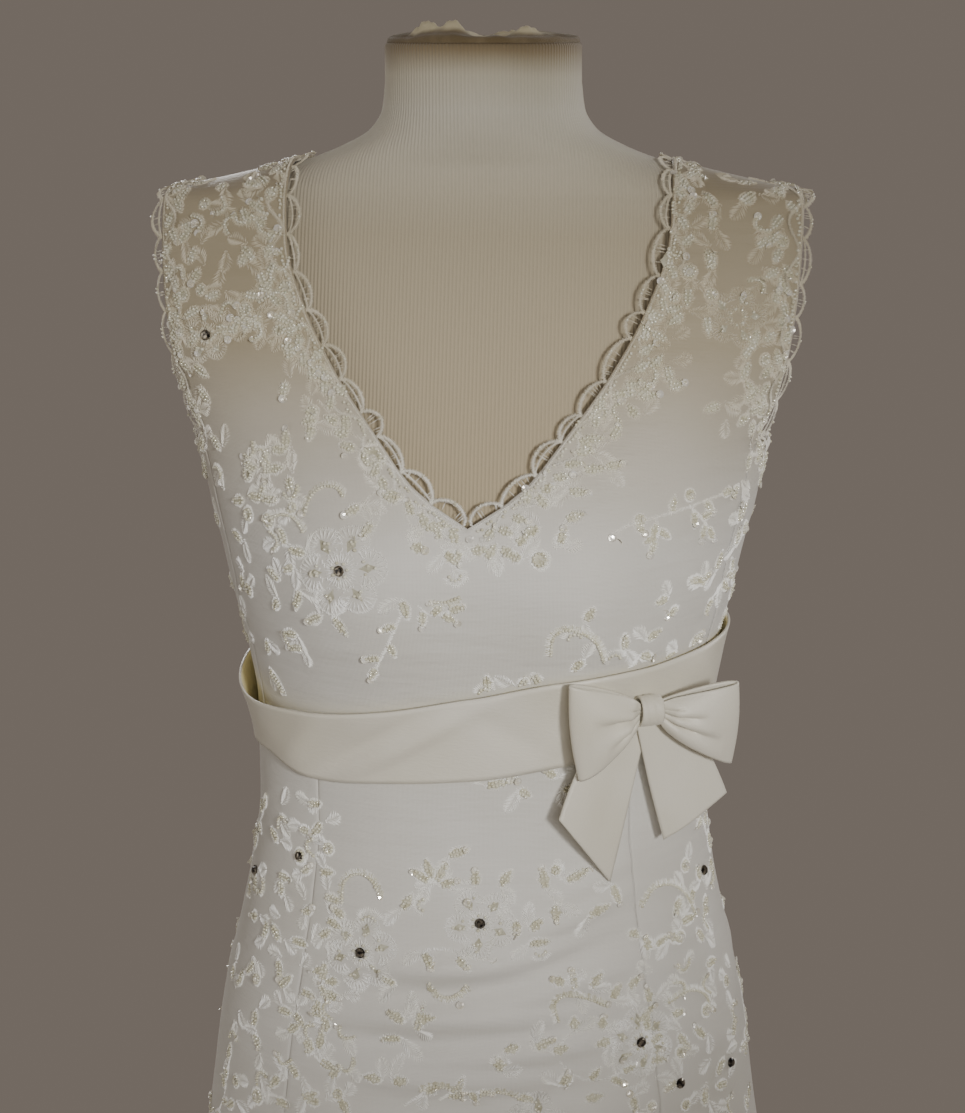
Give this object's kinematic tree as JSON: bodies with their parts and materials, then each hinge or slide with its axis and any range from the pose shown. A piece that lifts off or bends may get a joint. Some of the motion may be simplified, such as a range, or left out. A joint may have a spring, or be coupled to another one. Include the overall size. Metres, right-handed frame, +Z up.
{
  "type": "wedding dress on a dress form",
  "caption": "Floor-length sleeveless V-neck wedding dress with lace, a satin sash and a bow, on a limbless dress form with a round stand.",
  "frame": {"origin": "on the floor, at the middle of the underside of the stand's round base", "axes": "+Z up the form's neck, -Y out of the dress's front, +X to the side where the bow is"},
  "size_m": [0.8716, 0.8327, 1.5549],
  "materials": {
    "dress_cloth": "ivory satin under net, soft sheen",
    "lace": "corded and beaded ivory lace",
    "sash_satin": "warm ivory satin",
    "form_cover": "ribbed cream jersey, matte",
    "stand_metal": "dark satin paint"
  },
  "bodies": {
    "root": {"bodice_back_left": "dress_cloth", "bodice_back_right": "dress_cloth", "bodice_front": "dress_cloth", "bodice_side_left": "dress_cloth", "bodice_side_right": "dress_cloth", "bow_knot": "sash_satin", "bow_loop_left": "sash_satin", "bow_loop_right": "sash_satin", "bow_tail_left": "sash_satin", "bow_tail_right": "sash_satin", "button_01": "sash_satin", "button_02": "sash_satin", "button_03": "sash_satin", "button_04": "sash_satin", "button_05": "sash_satin", "button_06": "sash_satin", "button_07": "sash_satin", "button_08": "sash_satin", "button_09": "sash_satin", "button_10": "sash_satin", "button_11": "sash_satin", "form_cover_gather": "form_cover", "form_torso": "form_cover", "lace_armhole_left": "lace", "lace_armhole_right": "lace", "lace_flower_01": "lace", "lace_flower_02": "lace", "lace_flower_03": "lace", "lace_flower_04": "lace", "lace_flower_05": "lace", "lace_flower_06": "lace", "lace_flower_07": "lace", "lace_flower_08": "lace", "lace_flower_09": "lace", "lace_flower_10": "lace", "lace_flower_11": "lace", "lace_neck_back_left": "lace", "lace_neck_back_right": "lace", "lace_neck_front_left": "lace", "lace_neck_front_right": "lace", "sash_front": "sash_satin", "sash_side": "sash_satin", "skirt_back_left": "dress_cloth", "skirt_back_right": "dress_cloth", "skirt_front": "dress_cloth", "skirt_side_back_left": "dress_cloth", "skirt_side_back_right": "dress_cloth", "skirt_side_front_left": "dress_cloth", "skirt_side_front_right": "dress_cloth", "stand_base": "stand_metal", "stand_hub": "stand_metal", "stand_pole": "stand_metal"}
  },
  "joints": []
}
